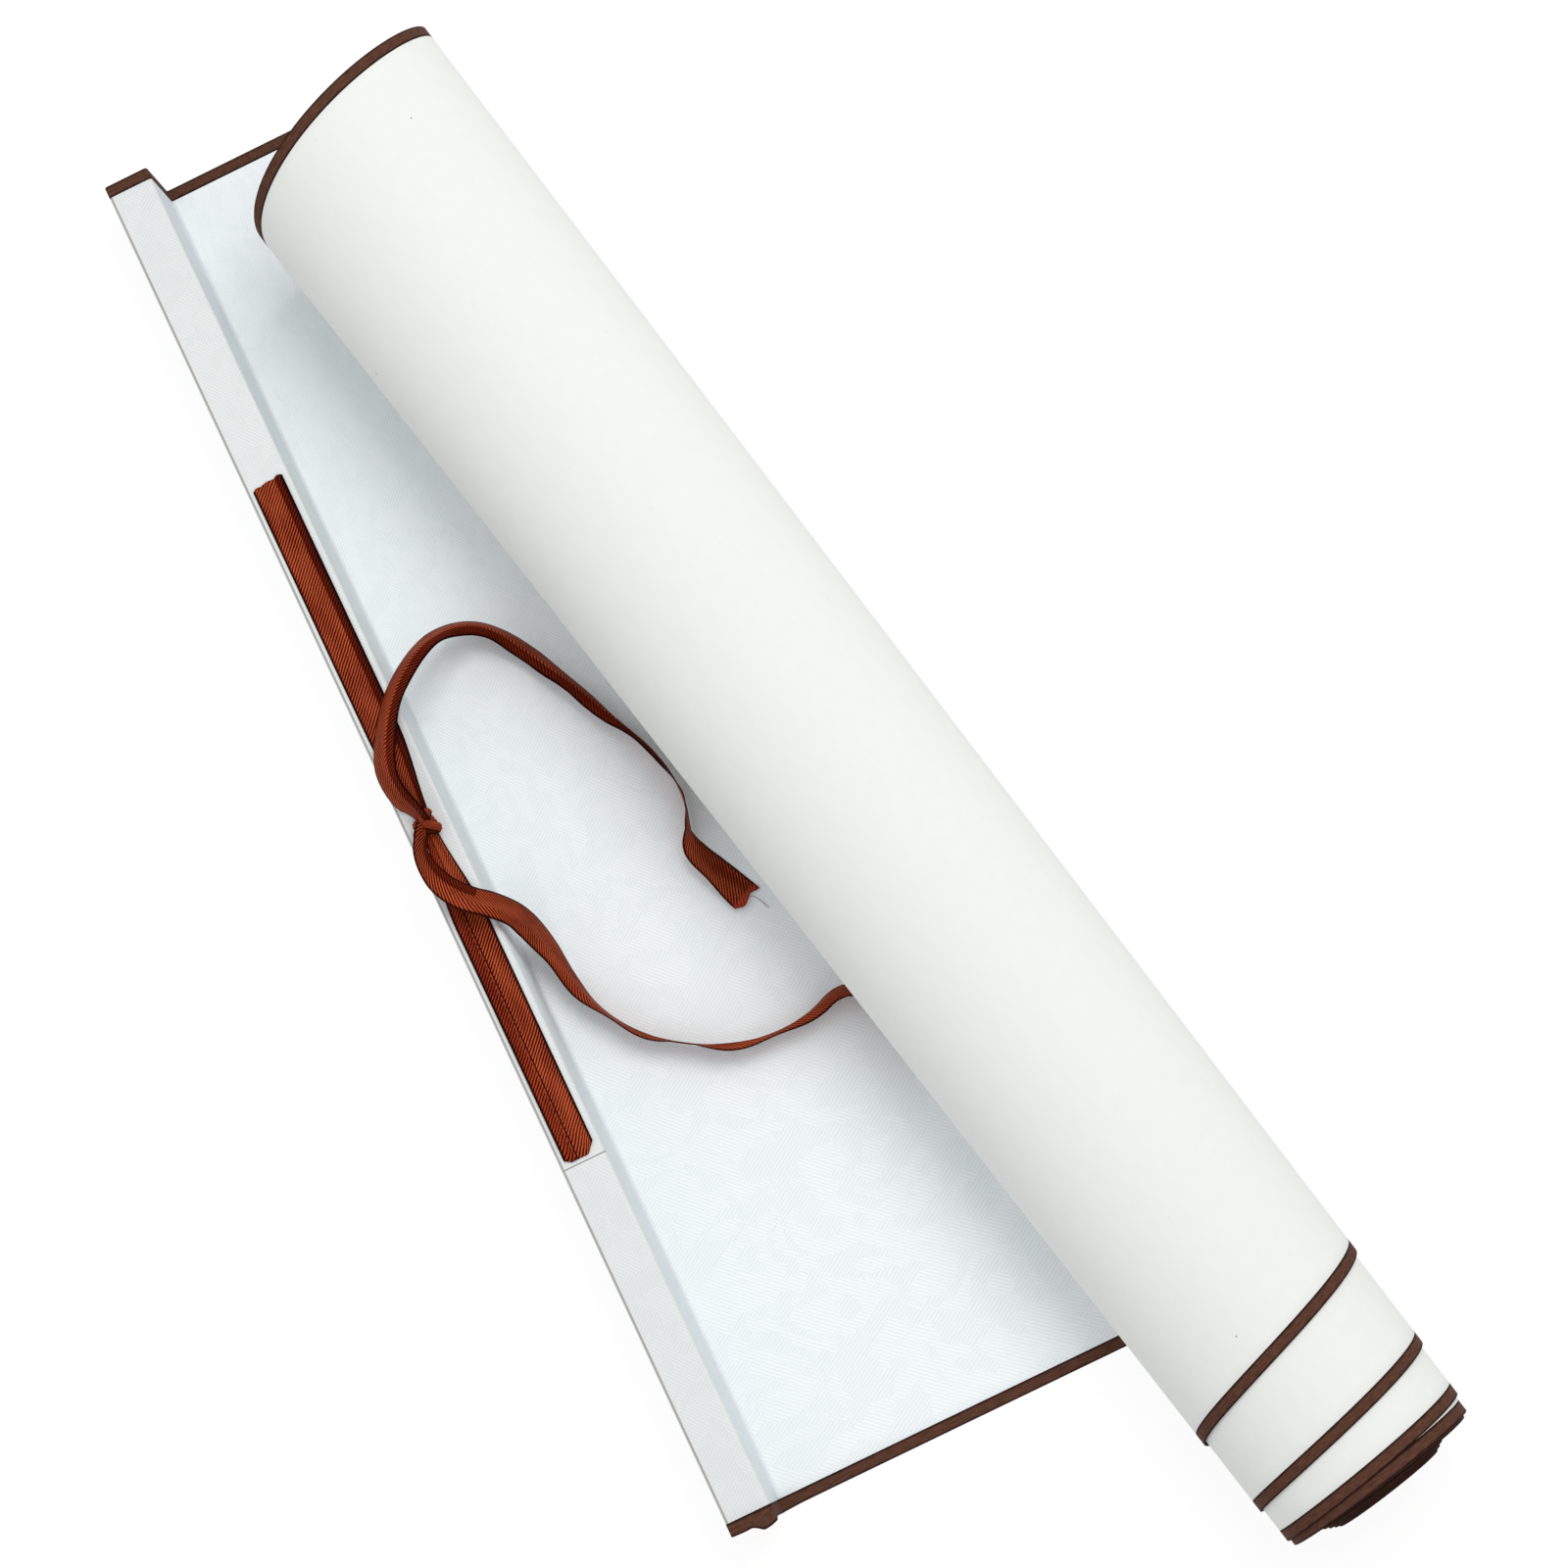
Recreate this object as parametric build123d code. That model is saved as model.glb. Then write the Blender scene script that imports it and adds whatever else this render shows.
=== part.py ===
"""A blank hanging scroll that lies face up, most of it rolled up askew.

Millimetres, +Z up. The wrapped top stave lies along Y. The origin is on the floor under the roll,
where the line that the roll rests on crosses the middle of the sheet's width.
"""

import os
from collections import namedtuple
from math import cos, pi, radians, sin, tan

from build123d import *

# Sheet: damask face, paper back, and a brown strip along each long edge
sheet_width = 450.0
sheet_thickness = 0.4
binding_width = 3.8
paste_line = 0.02

# Top stave, with the sheet wrapped round it
stave_depth = 14.4
stave_height = 27.0
wrap_corner = 1.0
wrap_clearance = 0.1
wood_recess = 0.4
seam_width = 0.4
seam_place = -108.5

# Roll: loose outer turns, one turn that closes in, and a tight core on the bottom rod
flat_run = 100.9
roll_skew = radians(11.7)
core_skew = radians(0.35)
skew_turns = 3.19
skew_power = 1.15
cone_power = 0.43
roll_radius = 32.2
turn_step = 0.55
loose_turns = 4
flat_spot = 5.0
nip_clearance = 0.1
core_radius = 22.4
core_step = 1.4
core_turns = 4
rod_clearance = 0.05
rod_recess = 2.0

# Hanging ribbon on the stave
ribbon_width = 10.3
ribbon_thickness = 0.35
ribbon_upper_end = 118.4
ribbon_lower_end = -105.3
ribbon_corner_cut = 2.0
ribbon_tuck = 5.0
ribbon_seat = 0.03
slit_clearance = 0.25
pinch_width = 4.5
pinch_lift = 0.8
pinch_length = 32.0
pinch_waist = 9.0

# Tie: a knot round the hanging ribbon, with two free tails of the same ribbon
knot_place = 2.0
knot_length = 6.0
knot_wall = 0.6
knot_fit = 0.1
knot_turn_width = 4.6
knot_turn_across = 7.4
knot_turn_height = 4.8
knot_crossing = 35.0
tie_width = 10.0
tie_thickness = 0.35

# Places that follow from the sizes above
stave_front = -flat_run
stave_back = stave_front - stave_depth
stave_middle = stave_front - stave_depth / 2
half_width = sheet_width / 2
half_sheet = sheet_thickness / 2
closing_turns = 1
skewed_turns = loose_turns + closing_turns
all_turns = skewed_turns + core_turns
nip_rise = sheet_thickness + nip_clearance
cone_growth = sheet_width * (roll_skew - core_skew) * skew_power / (2 * pi * skew_turns)
floor_middle = half_sheet
along_roll = Vector(-sin(roll_skew), cos(roll_skew), 0)
across_roll = Vector(cos(roll_skew), sin(roll_skew), 0)
up = Vector(0, 0, 1)
along_stave = Vector(0, 1, 0)

# Facets of the curved stretches
loose_facets = 40
core_facets = 28
steps_per_corner = 6
flat_limit = 1e-7

# One line across a strip: its two ends, its face's normal and the way the strip runs there
Station = namedtuple("Station", "low high normal travel")


def across_stave(x, z, normal, travel):
    """A line of the sheet that is parallel to the stave."""
    return Station(Vector(x, -half_width, z), Vector(x, half_width, z), normal, travel)


def stave_bend(centre_x, centre_z, first, turn):
    """Quarter bend of the wrap: first is the face's direction at its start, turn is 1 clockwise."""
    stations = []
    side = up if first.X else Vector(1, 0, 0)
    second = side if first.cross(side).dot(along_stave) * turn > 0 else side * -1
    for step in range(steps_per_corner + 1):
        angle = pi / 2 * step / steps_per_corner
        out = first * cos(angle) + second * sin(angle)
        travel = (second * cos(angle) - first * sin(angle))
        face = out * turn
        place = Vector(centre_x, 0, centre_z) + out * wrap_corner
        stations.append(across_stave(place.X, place.Z, face, travel))
    return stations


def stave_wrap():
    """Segments of the sheet from its hem under the stave, round the stave, down to the floor."""
    left = stave_back + half_sheet + wrap_corner
    right = stave_front - half_sheet - wrap_corner
    low = floor_middle + wrap_corner
    high = stave_height - half_sheet - wrap_corner
    hem_x = stave_front - sheet_thickness - wrap_clearance
    hem = across_stave(hem_x, floor_middle, up * -1, Vector(-1, 0, 0))
    foot_x = stave_front - half_sheet + wrap_corner
    bends = [
        stave_bend(left, low, up * -1, 1),
        stave_bend(left, high, Vector(-1, 0, 0), 1),
        stave_bend(right, high, up, 1),
        stave_bend(foot_x, low, Vector(-1, 0, 0), -1),
    ]
    segments = [[hem, bends[0][0]]]
    for bend, following in zip(bends, bends[1:]):
        segments.append(bend)
        segments.append([bend[-1], following[0]])
    segments.append(bends[-1])
    return segments


def turn_sizes(turn):
    """Radius at the roll's end, height of the turn's foot and half its flat spot, at a turn's start."""
    outer = min(turn, loose_turns)
    radius = roll_radius - turn_step * outer
    foot = floor_middle + nip_rise * min(turn, skewed_turns)
    if turn >= skewed_turns:
        tight = turn - skewed_turns
        radius = core_radius - core_step * tight
        foot += core_step * tight
    spot = flat_spot / 2 * max(0.0, 1 - turn / skewed_turns)
    return radius, foot, spot


def skew_share(turn):
    """How far the roll is still from its straight core, from 1 at the floor to 0."""
    return max(0.0, 1 - turn / skew_turns)


def skew_at(turn):
    """Angle between the roll's axis and the sheet's own cross direction, which dies out inwards."""
    return core_skew + (roll_skew - core_skew) * skew_share(turn) ** skew_power


def roll_place(turn, angle, axial, far_end):
    """Point of the turn at that angle from its foot and that place along the roll's axis."""
    eased = (angle - sin(angle)) / (2 * pi)
    here, later = turn_sizes(turn), turn_sizes(turn + 1)
    radius, foot, spot = (a + (b - a) * eased for a, b in zip(here, later))
    cone = cone_growth * skew_share(turn + eased) ** cone_power
    radius += cone * (axial - far_end) / sheet_width
    sideways = radius * sin(angle) + spot * cos(angle / 2)
    return along_roll * axial + across_roll * sideways + up * (foot + radius * (1 - cos(angle)))


def roll_station(turn, angle, axial, far_end):
    """Line across the sheet in the roll: axial is where its lower end is along the roll's axis."""
    skew = skew_at(turn + angle / (2 * pi))
    low = roll_place(turn, angle, axial, far_end)
    high = roll_place(turn, angle, axial + sheet_width / cos(skew), far_end)
    normal = up * cos(angle) - across_roll * sin(angle)
    travel = across_roll * cos(angle) + up * sin(angle) - along_roll * tan(skew)
    return Station(low, high, normal, travel)


def rolled_segments(far_end):
    """Turns and flat spots from the floor inwards, each slid along the axis by the skew."""
    axial = -(half_width + flat_spot / 2 * sin(roll_skew)) / cos(roll_skew)
    segments = []
    for turn in range(all_turns):
        stations = [roll_station(turn, 0, axial, far_end)]
        facets = loose_facets if turn < skewed_turns else core_facets
        for step in range(1, facets + 1):
            angle = 2 * pi * step / facets
            probe = roll_station(turn, angle, axial, far_end).low - stations[-1].low
            around = (probe - along_roll * probe.dot(along_roll)).length
            axial -= around * tan(skew_at(turn + (step - 0.5) / facets))
            stations.append(roll_station(turn, angle, axial, far_end))
        segments.append(stations)
        spot = turn_sizes(turn + 1)[2]
        if spot and turn + 1 < all_turns:
            axial -= 2 * spot * tan(skew_at(turn + 1))
            segments.append([stations[-1], roll_station(turn + 1, 0, axial, far_end)])
    return segments, axial


def sheet_segments():
    """All segments of the sheet, from the hem under the stave to the bottom rod."""
    far_end = rolled_segments(0.0)[1]
    for _ in range(3):
        rolled, far_end = rolled_segments(far_end)
    wrap = stave_wrap()
    flat = [wrap[-1][-1], rolled[0][0]]
    return wrap + [flat] + rolled, far_end


def corners(station, start, stop, thickness):
    """Four corners of a strip's section, between two shares of the way across."""
    reach = station.high - station.low
    side = station.normal * (thickness / 2)
    near, far = station.low + reach * start, station.low + reach * stop
    return [near - side, far - side, far + side, near + side]


def facet(a, b, c, d):
    """Plane faces over four corners: one where they lie in a plane, else a pair of triangles."""
    if abs((b - a).cross(c - a).normalized().dot(d - a)) < flat_limit:
        return [Face(Wire.make_polygon([a, b, c, d], close=True))]
    return [Face(Wire.make_polygon(outline, close=True)) for outline in ([a, b, c], [a, c, d])]


def strip_solid(segments, start, stop, thickness):
    """Closed strip through the stations of all segments, with one facet from each to the next.

    Both broad sides of a facet are split along the same diagonal, so that they never cross.
    """
    stations = [segments[0][0]]
    for segment in segments:
        stations += segment[1:]
    rings = [corners(station, start, stop, thickness) for station in stations]
    faces = facet(*rings[0]) + facet(*rings[-1])
    for ring, following in zip(rings, rings[1:]):
        for i in range(4):
            j = (i + 1) % 4
            outline = [ring[i], following[i], following[j], ring[j]]
            if i == 2:
                outline = outline[1:] + outline[:1]
            faces += facet(*outline)
    return Solid(Shell(faces))


def box_between(low, high):
    """Box from its lowest to its highest corner."""
    size = Vector(*high) - Vector(*low)
    middle = (Vector(*low) + Vector(*high)) / 2
    return Pos(middle.X, middle.Y, middle.Z) * Box(size.X, size.Y, size.Z)


def make_slit(depth):
    """Cutter for the slit that the hanging ribbon's upper end goes down through."""
    reach = ribbon_width / 2 + slit_clearance
    return box_between(
        (stave_middle - reach, ribbon_upper_end - ribbon_thickness - slit_clearance, stave_height - depth),
        (stave_middle + reach, ribbon_upper_end + slit_clearance, stave_height + 1),
    )


def make_sheet(segments):
    """The sheet without its two edge strips, cut for the ribbon's slit and the seam on the stave."""
    edge = (binding_width + paste_line) / sheet_width
    sheet = strip_solid(segments, edge, 1 - edge, sheet_thickness)
    seam = box_between(
        (stave_back + sheet_thickness, seam_place - seam_width / 2, stave_height - sheet_thickness),
        (stave_front - sheet_thickness, seam_place + seam_width / 2, stave_height + 1),
    )
    return sheet - make_slit(sheet_thickness + wrap_clearance) - seam


def make_binding(segments, upper):
    """Brown strip along one long edge, flush with both faces of the sheet."""
    share = binding_width / sheet_width
    start, stop = (1 - share, 1) if upper else (0, share)
    return strip_solid(segments, start, stop, sheet_thickness)


def make_stave():
    """Wooden stave inside the wrap, with the mortise that holds the ribbon's upper end."""
    skin = sheet_thickness + wrap_clearance
    wood = box_between(
        (stave_back + skin, -half_width + wood_recess, skin),
        (stave_front - skin, half_width - wood_recess, stave_height - skin),
    )
    wood = fillet(wood.edges().filter_by(Axis.Y), wrap_corner - half_sheet - wrap_clearance)
    return wood - make_slit(ribbon_tuck + slit_clearance)


def make_rod(far_end):
    """Bottom rod that the sheet's end is pasted to, in the middle of the core."""
    radius, foot, _ = turn_sizes(all_turns)
    rod_radius = (radius - half_sheet) * cos(pi / core_facets) - rod_clearance
    length = sheet_width - 2 * rod_recess
    start = along_roll * (far_end + rod_recess) + up * (foot + radius)
    plane = Plane(origin=start, x_dir=across_roll, z_dir=along_roll)
    return extrude(plane * Circle(rod_radius), length)


def ribbon_side():
    """Side outline of the hanging ribbon: along the stave, up under the knot, down into its slit."""
    seat = stave_height + ribbon_seat
    back = knot_place - pinch_length / 2
    front = knot_place + pinch_length / 2
    level = Vector(0, 1, 0)

    def rail(lift):
        places = [(0, back, seat + lift), (0, knot_place, seat + pinch_lift + lift), (0, front, seat + lift)]
        return Edge.make_spline([Vector(*place) for place in places], tangents=[level, level])

    top = ribbon_thickness
    inner = ribbon_upper_end - ribbon_thickness
    bottom = stave_height - ribbon_tuck
    outline = [
        Edge.make_line((0, ribbon_lower_end, seat), (0, back, seat)),
        rail(0),
        Edge.make_line((0, front, seat), (0, inner, seat)),
        Edge.make_line((0, inner, seat), (0, inner, bottom)),
        Edge.make_line((0, inner, bottom), (0, ribbon_upper_end, bottom)),
        Edge.make_line((0, ribbon_upper_end, bottom), (0, ribbon_upper_end, seat)),
        Edge.make_three_point_arc(
            (0, ribbon_upper_end, seat),
            (0, inner + top * sin(pi / 4), seat + top * sin(pi / 4)),
            (0, inner, seat + top),
        ),
        Edge.make_line((0, inner, seat + top), (0, front, seat + top)),
        rail(top),
        Edge.make_line((0, back, seat + top), (0, ribbon_lower_end, seat + top)),
        Edge.make_line((0, ribbon_lower_end, seat + top), (0, ribbon_lower_end, seat)),
    ]
    return Face(Wire(outline))


def ribbon_plan():
    """Plan outline of the hanging ribbon, drawn in at the knot and cut off at its lower corners."""
    wide, narrow = ribbon_width / 2, pinch_width / 2
    low, high = ribbon_lower_end, ribbon_upper_end + 1
    back, front = knot_place - pinch_length / 2, knot_place + pinch_length / 2
    waist_back, waist_front = knot_place - pinch_waist / 2, knot_place + pinch_waist / 2

    def side(sign):
        x = [stave_middle + sign * wide, stave_middle + sign * narrow]
        start = stave_middle + sign * (wide - ribbon_corner_cut)
        level = Vector(0, 1, 0)
        return [
            Edge.make_line((start, low, 0), (x[0], low + ribbon_corner_cut, 0)),
            Edge.make_line((x[0], low + ribbon_corner_cut, 0), (x[0], back, 0)),
            Edge.make_spline([Vector(x[0], back, 0), Vector(x[1], waist_back, 0)], tangents=[level, level]),
            Edge.make_line((x[1], waist_back, 0), (x[1], waist_front, 0)),
            Edge.make_spline([Vector(x[1], waist_front, 0), Vector(x[0], front, 0)], tangents=[level, level]),
            Edge.make_line((x[0], front, 0), (x[0], high, 0)),
        ]

    left, right = side(-1), side(1)
    ends = [
        Edge.make_line(left[0] @ 0, right[0] @ 0),
        Edge.make_line(left[-1] @ 1, right[-1] @ 1),
    ]
    return Face(Wire(left + right + ends))


def make_hanging_ribbon():
    """Ribbon band along the top of the stave, pinched under the knot."""
    reach = ribbon_width
    side = Pos(stave_middle - reach, 0, 0) * extrude(ribbon_side(), 2 * reach, dir=(1, 0, 0))
    return side & extrude(ribbon_plan(), stave_height * 2, dir=(0, 0, 1))


def make_knot():
    """Knot of the tie: a loop that the hanging ribbon passes through, and two turns crossed over it."""
    seat = stave_height + ribbon_seat
    tunnel_low = seat + pinch_lift - knot_fit - 0.1
    tunnel_high = seat + pinch_lift + ribbon_thickness + knot_fit + 0.1
    loop_half = pinch_width / 2 + knot_fit + knot_wall
    knot = box_between(
        (stave_middle - loop_half, knot_place - knot_length / 2, stave_height + knot_fit),
        (stave_middle + loop_half, knot_place + knot_length / 2, tunnel_high + knot_wall),
    )
    middle = Vector(stave_middle, knot_place, tunnel_high + knot_turn_height / 2)
    for side in (-1, 1):
        angle = radians(side * knot_crossing)
        plane = Plane(origin=middle, x_dir=(cos(angle), sin(angle), 0), z_dir=(sin(angle), -cos(angle), 0))
        outline = plane * Ellipse(knot_turn_across / 2, knot_turn_height / 2)
        knot += extrude(outline, knot_turn_width / 2, both=True)
    tunnel = box_between(
        (stave_middle - pinch_width / 2 - knot_fit, knot_place - knot_length, tunnel_low),
        (stave_middle + pinch_width / 2 + knot_fit, knot_place + knot_length, tunnel_high),
    )
    return knot - tunnel


# Routes of the tails, as distance in front of the stave, Y and Z of the ribbon's middle line, and its
# lean in degrees, where 0 stands on its edge and 90 lies flat
tail_a_route = [
    (-8.2, 7.0, 33.5, 20),
    (-10.8, 11.9, 34.4, 25),
    (-11.4, 21.9, 34.5, 28),
    (-7.2, 31.4, 34.4, 34),
    (-0.6, 40.6, 34.0, 38),
    (9.6, 50.6, 29.6, 40),
    (19.3, 56.0, 19.5, 36),
    (28.0, 56.5, 10.0, 32),
    (35.4, 51.2, 6.2, 30),
    (42.4, 39.3, 5.4, 30),
    (49.9, 24.3, 5.4, 26),
    (56.7, 9.1, 5.7, 10),
    (63.5, -6.0, 5.8, 6),
    (64.8, -20.6, 5.8, 2),
    (61.7, -30.0, 5.8, 4),
    (60.2, -36.4, 5.0, 30),
    (63.6, -44.8, 3.2, 62),
    (68.5, -56.3, 1.9, 78),
]
tail_b_route = [
    (-9.9, -2.5, 33.5, 20),
    (-11.9, -7.8, 34.4, 35),
    (-10.7, -15.8, 34.5, 42),
    (-5.5, -23.2, 34.2, 46),
    (1.6, -28.7, 32.0, 46),
    (6.6, -34.9, 22.0, 42),
    (8.7, -42.6, 11.0, 36),
    (9.9, -52.8, 5.6, 30),
    (12.7, -64.3, 5.5, 24),
    (18.9, -75.5, 5.7, 16),
    (28.7, -85.2, 5.8, 8),
    (41.2, -92.7, 5.9, 8),
    (55.4, -97.0, 5.8, 14),
    (70.3, -96.4, 5.5, 24),
    (82.1, -92.8, 5.4, 24),
    (90.5, -99.5, 5.6, 20),
    (94.6, -112.0, 5.8, 10),
    (97.8, -125.5, 5.9, 0),
]


def tail_segments(route):
    """Straight runs and tangent arcs of a ribbon that follows the route and leans as it says."""
    points = [Vector(stave_front + x, y, z) for x, y, z, _ in route]
    leans = [radians(lean) for _, _, _, lean in route]
    runs = [b - a for a, b in zip(points, points[1:])]
    ways = [run.normalized() for run in runs]
    path = [[(points[0], ways[0], leans[0])]]
    for i in range(1, len(points) - 1):
        way, following = ways[i - 1], ways[i]
        turn = radians(way.get_angle(following))
        radius = 0.45 * min(runs[i - 1].length, runs[i].length) / tan(turn / 2)
        cut = radius * tan(turn / 2)
        inward = (following - way * cos(turn)).normalized()
        lean_before = leans[i] + (leans[i - 1] - leans[i]) * cut / runs[i - 1].length
        lean_after = leans[i] + (leans[i + 1] - leans[i]) * cut / runs[i].length
        arc = []
        for step in range(steps_per_corner + 1):
            share = step / steps_per_corner
            angle = turn * share
            place = points[i] - way * cut + (way * sin(angle) + inward * (1 - cos(angle))) * radius
            lean = lean_before + (lean_after - lean_before) * share
            arc.append((place, way * cos(angle) + inward * sin(angle), lean))
        path[-1].append(arc[0])
        path += [arc, [arc[-1]]]
    path[-1].append((points[-1], ways[-1], leans[-1]))
    segments = []
    for stretch in path:
        stations = []
        for place, way, lean in stretch:
            upright = (up - way * up.dot(way)).normalized()
            across = upright * cos(lean) + way.cross(upright) * sin(lean)
            reach = across * (tie_width / 2)
            stations.append(Station(place - reach, place + reach, way.cross(across), way))
        segments.append(stations)
    return segments


def tail_radii(route):
    """Bend radius at each inner point of a tail's route."""
    points = [Vector(*place[:3]) for place in route]
    radii = []
    for a, b, c in zip(points, points[1:], points[2:]):
        turn = radians((b - a).get_angle(c - b))
        radii.append(round(0.45 * min((b - a).length, (c - b).length) / tan(turn / 2), 1))
    return radii


def make_tail(route):
    """Free ribbon tail of the tie."""
    return strip_solid(tail_segments(route), 0, 1, tie_thickness)


def tail_length(route):
    """Length of a tail along its straight runs and arcs."""
    length = 0.0
    for stretch in tail_segments(route):
        middles = [(station.low + station.high) / 2 for station in stretch]
        length += sum((b - a).length for a, b in zip(middles, middles[1:]))
    return length


def main():
    """Build every piece and write one file for each."""
    segments, far_end = sheet_segments()
    nodes = {
        "scroll_sheet": make_sheet(segments),
        "edge_binding_upper": make_binding(segments, True),
        "edge_binding_lower": make_binding(segments, False),
        "top_stave": make_stave(),
        "bottom_rod": make_rod(far_end),
        "hanging_ribbon": make_hanging_ribbon(),
        "tie_knot": make_knot(),
        "tie_tail_a": make_tail(tail_a_route),
        "tie_tail_b": make_tail(tail_b_route),
    }
    os.makedirs("parts", exist_ok=True)
    for name, shape in nodes.items():
        export_step(shape, f"parts/{name}.step")
        box = shape.bounding_box()
        print(name, "valid" if shape.is_valid else "NOT VALID", f"{shape.volume:.1f} mm3", box.min, box.max)
    for name, route in (("tie_tail_a", tail_a_route), ("tie_tail_b", tail_b_route)):
        length = tail_length(route)
        share = nodes[name].volume / (length * tie_width * tie_thickness)
        print(name, f"{length:.1f} mm long, volume {share:.4f} of section times length", tail_radii(route))


main()
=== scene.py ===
"""Scene of a blank hanging scroll that lies face up, most of it rolled up askew.

Metres, +Z up. The sheet, its edge strips and the ribbons are finer meshes on the same lines as the
CAD part; the wooden stave and the rod are the CAD pieces themselves.
"""

from math import cos, pi, radians, sin, tan

import bpy
import numpy as np
from mathutils import Matrix, Vector


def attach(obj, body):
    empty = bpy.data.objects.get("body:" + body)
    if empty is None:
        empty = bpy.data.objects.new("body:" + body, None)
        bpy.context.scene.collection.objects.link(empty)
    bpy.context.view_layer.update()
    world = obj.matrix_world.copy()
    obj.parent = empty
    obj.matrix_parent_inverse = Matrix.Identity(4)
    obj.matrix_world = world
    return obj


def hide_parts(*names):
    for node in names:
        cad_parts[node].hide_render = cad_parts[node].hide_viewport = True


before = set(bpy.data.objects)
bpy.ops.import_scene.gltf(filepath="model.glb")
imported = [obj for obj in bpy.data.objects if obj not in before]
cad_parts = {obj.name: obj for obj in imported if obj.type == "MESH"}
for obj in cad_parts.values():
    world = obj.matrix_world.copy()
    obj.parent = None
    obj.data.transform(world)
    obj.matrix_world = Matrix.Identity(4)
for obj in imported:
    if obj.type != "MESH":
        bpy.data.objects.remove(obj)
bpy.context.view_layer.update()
millimetre = 0.001


# Sizes that the sheet shares with the CAD part
sheet_width = 450.0 * millimetre
sheet_thickness = 0.4 * millimetre
binding_width = 3.8 * millimetre
stave_depth = 14.4 * millimetre
stave_height = 27.0 * millimetre
wrap_corner = 1.0 * millimetre
wrap_clearance = 0.1 * millimetre
flat_run = 100.9 * millimetre
roll_skew = radians(11.7)
core_skew = radians(0.35)
skew_turns = 3.19
skew_power = 1.15
cone_power = 0.43
roll_radius = 32.2 * millimetre
turn_step = 0.55 * millimetre
loose_turns = 4
skewed_turns = 5
all_turns = 9
flat_spot = 5.0 * millimetre
nip_rise = 0.5 * millimetre
core_radius = 22.4 * millimetre
core_step = 1.4 * millimetre
seam_place = -108.5 * millimetre

# Sizes of the sheet in this scene alone
binding_rise = 0.05 * millimetre
seam_reach = 0.16 * millimetre

# Ribbon sizes
ribbon_width = 10.3 * millimetre
ribbon_thickness = 0.35 * millimetre
tie_width = 10.0 * millimetre
tie_thickness = 0.35 * millimetre
knot_place = 2.0 * millimetre

# Folds and creases of the ribbons: places across them from 0 to 1, and places along them
upper_fold = 0.74
lower_fold = 0.4
fold_rise = 0.3 * millimetre
upper_crease = 0.7
upper_crease_end = 165 * millimetre
lower_crease = 0.4
lower_crease_end = 30 * millimetre
crease_reach = 0.02
stitch_place = lower_fold - 0.04
stitch_reach = 0.018
stitch_pitch = 1.9 * millimetre
stitch_share = 0.55
fray_start = 208.4 * millimetre
fray_depth = 3 * millimetre

# Places that follow
stave_front = -flat_run
stave_back = stave_front - stave_depth
wrap_length = 2 * stave_height + 2 * stave_depth - 4 * (2 - pi / 2) * wrap_corner
corner_loss = 1.6 * millimetre
top_start = (stave_depth + stave_height - corner_loss) / wrap_length
front_start = (2 * stave_depth + stave_height - 2 * wrap_corner) / wrap_length
stave_middle = stave_front - stave_depth / 2
half_width = sheet_width / 2
half_sheet = sheet_thickness / 2
cone_growth = sheet_width * (roll_skew - core_skew) * skew_power / (2 * pi * skew_turns)
along_roll = np.array((-sin(roll_skew), cos(roll_skew), 0))
across_roll = np.array((cos(roll_skew), sin(roll_skew), 0))
up = np.array((0.0, 0.0, 1.0))

# Fineness of the meshes
turn_steps = 120
corner_steps = 8
top_steps = 16
front_steps = 8
flat_steps = 30
columns = 38
edge_column = 7.02 * millimetre


def station(low, high, normal):
    """A line across the sheet: its two ends and the direction that its damask faces."""
    return np.array(low, float), np.array(high, float), np.array(normal, float)


def across_stave(x, z, normal):
    """A line of the sheet that is parallel to the stave."""
    return station((x, -half_width, z), (x, half_width, z), normal)


def bend(centre, first, second, sign):
    """Lines of a quarter bend about a centre in XZ, from direction first to second."""
    lines = []
    for step in range(corner_steps + 1):
        angle = pi / 2 * step / corner_steps
        out = np.array(first) * cos(angle) + np.array(second) * sin(angle)
        place = np.array(centre) + out * wrap_corner
        lines.append(across_stave(place[0], place[1], (out[0] * sign, 0, out[1] * sign)))
    return lines


def between(start, stop, count):
    """Evenly spaced lines of the sheet between two of its lines."""
    shares = [step / count for step in range(1, count)]
    return [tuple(a + (b - a) * share for a, b in zip(start, stop)) for share in shares]


def stave_wrap():
    """Lines of the sheet from its hem under the stave, round the stave, down to the floor."""
    left = stave_back + half_sheet + wrap_corner
    right = stave_front - half_sheet - wrap_corner
    low = half_sheet + wrap_corner
    high = stave_height - half_sheet - wrap_corner
    foot = stave_front - half_sheet + wrap_corner
    hem = stave_front - sheet_thickness - wrap_clearance
    lines = [across_stave(hem, half_sheet, (0, 0, -1))]
    lines += bend((left, low), (0, -1), (-1, 0), 1)
    lines += bend((left, high), (-1, 0), (0, 1), 1)
    after_top = bend((right, high), (0, 1), (1, 0), 1)
    lines += between(lines[-1], after_top[0], top_steps) + after_top
    before_floor = bend((foot, low), (-1, 0), (0, -1), -1)
    lines += between(lines[-1], before_floor[0], front_steps) + before_floor
    return lines


def turn_sizes(turn):
    """Radius at the roll's end, height of the foot and half the flat spot, at a turn's start."""
    radius = roll_radius - turn_step * min(turn, loose_turns)
    foot = half_sheet + nip_rise * min(turn, skewed_turns)
    if turn >= skewed_turns:
        tight = turn - skewed_turns
        radius = core_radius - core_step * tight
        foot += core_step * tight
    return np.array((radius, foot, flat_spot / 2 * max(0.0, 1 - turn / skewed_turns)))


def skew_share(turn):
    """How far the roll is still from its straight core, from 1 at the floor to 0."""
    return max(0.0, 1 - turn / skew_turns)


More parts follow.
